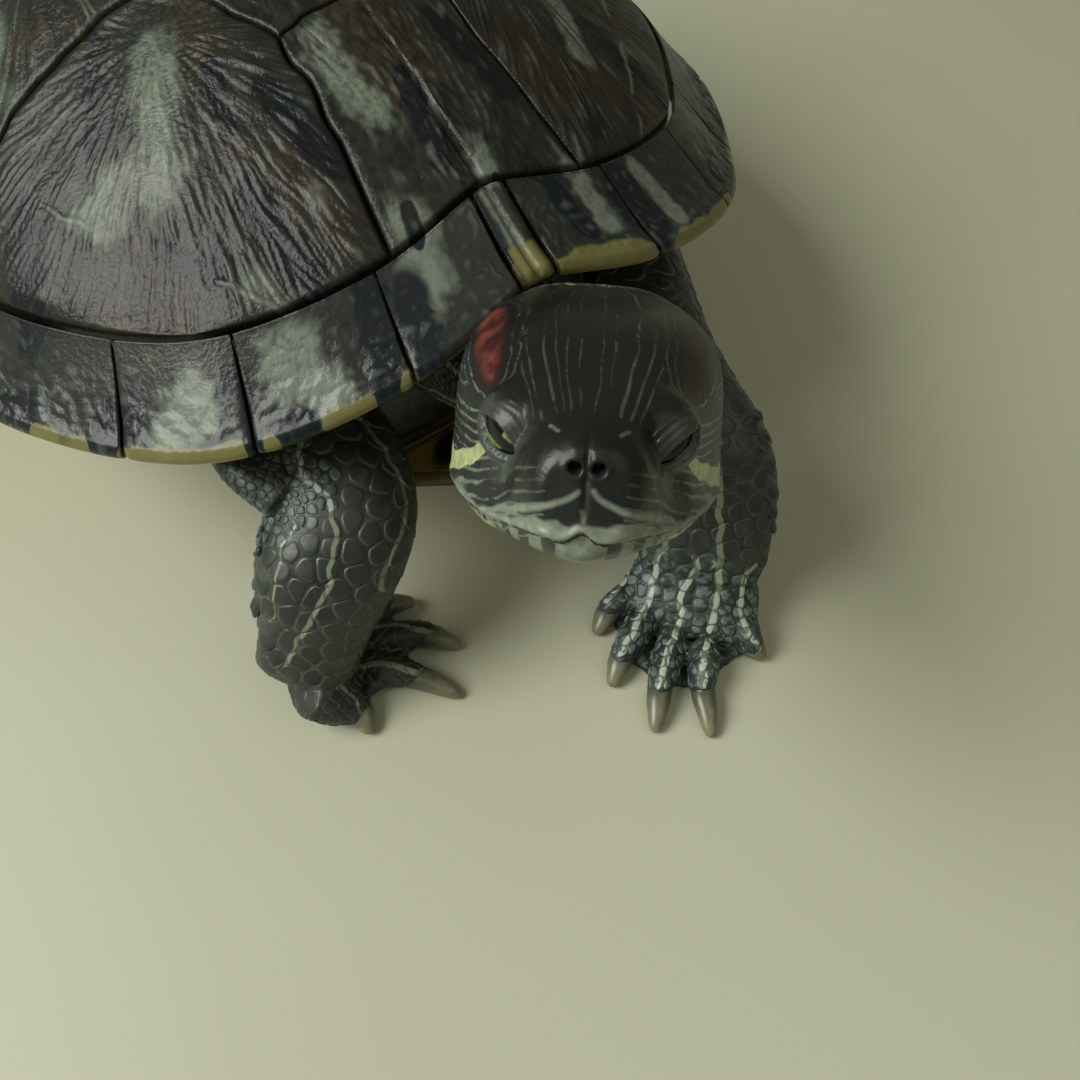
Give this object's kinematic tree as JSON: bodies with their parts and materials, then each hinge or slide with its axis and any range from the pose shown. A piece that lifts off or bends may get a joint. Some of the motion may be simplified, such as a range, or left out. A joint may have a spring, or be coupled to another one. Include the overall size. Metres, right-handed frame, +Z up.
{
  "type": "red-eared slider turtle",
  "caption": "Life-size model of a pond turtle standing still, with a domed plated shell, outstretched neck, turned head, webbed clawed feet and a short tail.",
  "frame": {"origin": "bottom centre of the bounding box, on the floor under the body", "axes": "+Z up, +Y toward the tail, +X toward the animal's left side, millimetres in the source and metres in the row"},
  "size_m": [0.1906, 0.244, 0.0937],
  "materials": {
    "carapace_horn": "wet, ridged dark olive horn",
    "plastron_horn": "satin yellow horn with dark blotches",
    "limb_skin": "damp scaly skin, dark green-grey with cream stripes",
    "head_skin": "smooth damp skin, near-black olive with fine yellow stripes and a red patch behind each eye",
    "eye": "wet, yellow-green iris with a dark bar"
  },
  "bodies": {
    "root": {"nuchal": "carapace_horn", "vertebral_1": "carapace_horn", "vertebral_2": "carapace_horn", "vertebral_3": "carapace_horn", "vertebral_4": "carapace_horn", "vertebral_5": "carapace_horn", "costal_left_1": "carapace_horn", "costal_left_2": "carapace_horn", "costal_left_3": "carapace_horn", "costal_left_4": "carapace_horn", "costal_right_1": "carapace_horn", "costal_right_2": "carapace_horn", "costal_right_3": "carapace_horn", "costal_right_4": "carapace_horn", "marginal_left_1": "carapace_horn", "marginal_left_2": "carapace_horn", "marginal_left_3": "carapace_horn", "marginal_left_4": "carapace_horn", "marginal_left_5": "carapace_horn", "marginal_left_6": "carapace_horn", "marginal_left_7": "carapace_horn", "marginal_left_8": "carapace_horn", "marginal_left_9": "carapace_horn", "marginal_left_10": "carapace_horn", "marginal_left_11": "carapace_horn", "marginal_left_12": "carapace_horn", "marginal_right_1": "carapace_horn", "marginal_right_2": "carapace_horn", "marginal_right_3": "carapace_horn", "marginal_right_4": "carapace_horn", "marginal_right_5": "carapace_horn", "marginal_right_6": "carapace_horn", "marginal_right_7": "carapace_horn", "marginal_right_8": "carapace_horn", "marginal_right_9": "carapace_horn", "marginal_right_10": "carapace_horn", "marginal_right_11": "carapace_horn", "marginal_right_12": "carapace_horn", "plastron_gular": "plastron_horn", "plastron_humeral": "plastron_horn", "plastron_pectoral": "plastron_horn", "plastron_abdominal": "plastron_horn", "plastron_femoral": "plastron_horn", "plastron_anal": "plastron_horn", "trunk": "limb_skin", "neck": "limb_skin", "tail": "limb_skin", "leg_front_left": "limb_skin", "leg_front_right": "limb_skin", "leg_hind_left": "limb_skin", "leg_hind_right": "limb_skin", "foot_front_left": "limb_skin", "foot_front_right": "limb_skin", "foot_hind_left": "limb_skin", "foot_hind_right": "limb_skin", "head": "head_skin", "lower_jaw": "head_skin", "eye_left": "eye", "eye_right": "eye"}
  },
  "joints": []
}
